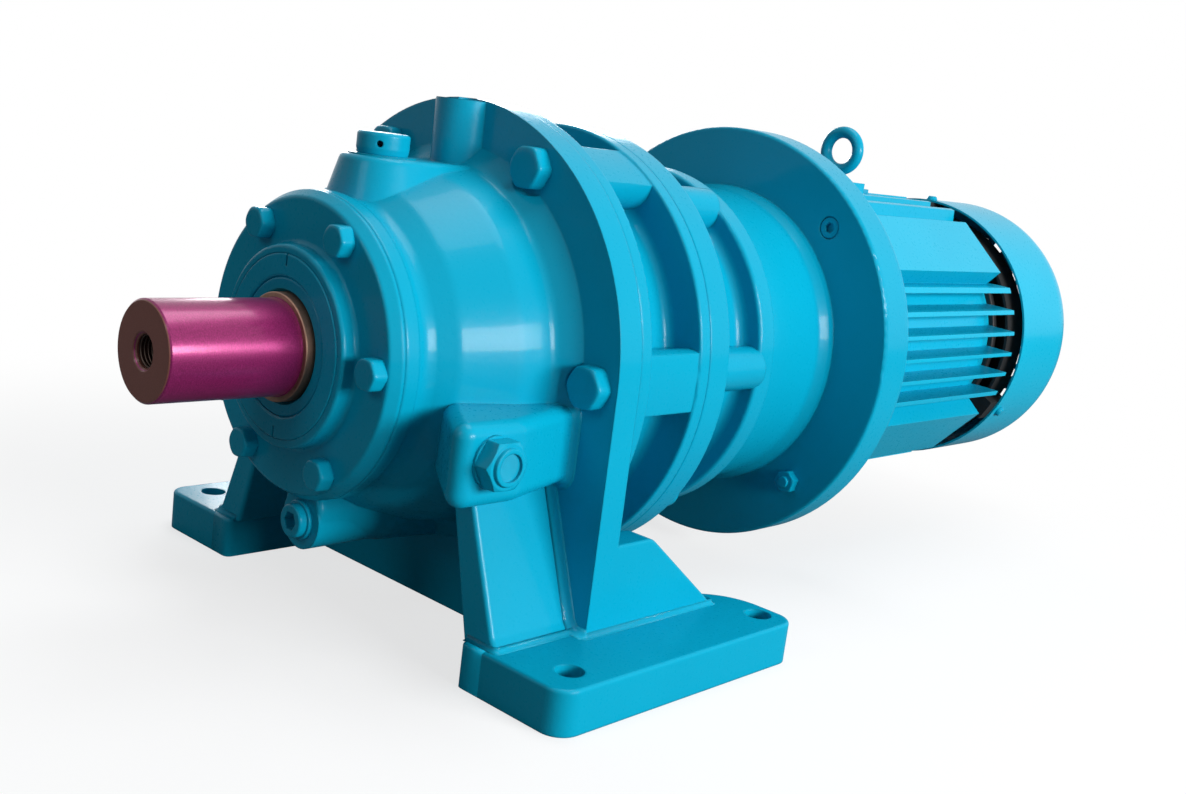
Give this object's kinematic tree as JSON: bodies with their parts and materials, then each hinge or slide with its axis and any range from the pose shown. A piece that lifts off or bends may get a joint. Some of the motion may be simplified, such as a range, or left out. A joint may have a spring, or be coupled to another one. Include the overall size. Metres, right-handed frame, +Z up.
{
  "type": "cycloidal gearbox",
  "caption": "Foot-mounted cycloidal gearbox with a flanged motor: cast case, pin housing, bell adapter, finned motor frame, fan cowl and a keyed output shaft.",
  "frame": {"origin": "centre of the four foot bolt holes, on the base plane", "axes": "+Z up, -Y out of the output shaft, +Y towards the motor, +X towards the oil sight glass side"},
  "size_m": [0.468, 1.051, 0.4016],
  "materials": {
    "painted_cast_iron": "gloss enamel on cast iron",
    "painted_aluminium": "gloss enamel on cast aluminium",
    "painted_sheet": "gloss enamel on sheet steel",
    "painted_steel": "gloss enamel on steel fasteners",
    "lacquered_shaft_steel": "turned steel under magenta rust-preventing lacquer",
    "bronze": "machined",
    "nitrile_rubber": "moulded, painted over",
    "bearing_steel": "ground",
    "laminated_steel": "stacked laminations",
    "copper_winding": "varnished copper",
    "moulded_plastic": "moulded nylon",
    "sight_glass": "painted-over lens"
  },
  "bodies": {
    "housing": {"blanking_plug": "painted_steel", "cable_gland": "moulded_plastic", "cover_bolts": "painted_steel", "cowl_screws": "painted_steel", "drain_plug": "painted_steel", "earth_screw": "painted_steel", "end_cover": "painted_cast_iron", "eye_bolt": "painted_steel", "fan_cowl": "painted_sheet", "filler_plug": "painted_steel", "front_bearing_outer": "bearing_steel", "gear_case": "painted_cast_iron", "housing_bolts": "painted_steel", "input_bearing_outer": "bearing_steel", "input_oil_seal": "nitrile_rubber", "lid_screws": "painted_steel", "motor_adapter": "painted_cast_iron", "motor_flange_bolts": "painted_steel", "motor_flange_shield": "painted_cast_iron", "motor_frame": "painted_aluminium", "motor_front_bearing_outer": "bearing_steel", "motor_rear_bearing_outer": "bearing_steel", "oil_sight_glass": "painted_steel", "output_oil_seal": "nitrile_rubber", "pin_housing": "painted_cast_iron", "plug_washers": "painted_steel", "rear_bearing_outer": "bearing_steel", "rear_end_shield": "painted_cast_iron", "ring_pins": "bearing_steel", "seal_retaining_ring": "painted_steel", "sight_glass_lens": "sight_glass", "stator_core": "laminated_steel", "stator_windings": "copper_winding", "terminal_box": "painted_aluminium", "terminal_box_lid": "painted_aluminium"},
    "output_line": {"output_shaft": "lacquered_shaft_steel", "shaft_sleeve": "bronze", "front_bearing_inner": "bearing_steel", "rear_bearing_inner": "bearing_steel", "output_pins": "bearing_steel", "output_bushes": "bearing_steel", "disc_spacer": "bearing_steel", "pilot_bearing_outer": "bearing_steel"},
    "input_line": {"input_shaft": "bearing_steel", "eccentric_sleeve": "bearing_steel", "eccentric_rollers": "bearing_steel", "pilot_bearing_inner": "bearing_steel", "input_bearing_inner": "bearing_steel", "shaft_coupling": "bearing_steel", "motor_shaft": "bearing_steel", "rotor_core": "laminated_steel", "motor_front_bearing_inner": "bearing_steel", "motor_rear_bearing_inner": "bearing_steel", "cooling_fan": "moulded_plastic"},
    "front_disc": {"cycloid_disc_front": "bearing_steel"},
    "rear_disc": {"cycloid_disc_rear": "bearing_steel"}
  },
  "joints": [
    {"name": "input_spin", "type": "hinge", "parent": "housing", "child": "input_line", "pos_m": [0, 0.25, 0.2], "axis": [0, 1, 0], "continuous": true},
    {"name": "output_spin", "type": "hinge", "parent": "housing", "child": "output_line", "pos_m": [0, -0.15, 0.2], "axis": [0, 1, 0], "continuous": true},
    {"name": "front_disc_spin", "type": "hinge", "parent": "input_line", "child": "front_disc", "pos_m": [0, 0.005, 0.2045], "axis": [0, 1, 0], "continuous": true},
    {"name": "rear_disc_spin", "type": "hinge", "parent": "input_line", "child": "rear_disc", "pos_m": [0, 0.03, 0.1955], "axis": [0, 1, 0], "continuous": true}
  ],
  "couplings": [
    {"joint": "output_spin", "follows": "input_spin", "ratio": -0.090909},
    {"joint": "front_disc_spin", "follows": "input_spin", "ratio": -1.0909},
    {"joint": "rear_disc_spin", "follows": "input_spin", "ratio": -1.0909}
  ]
}
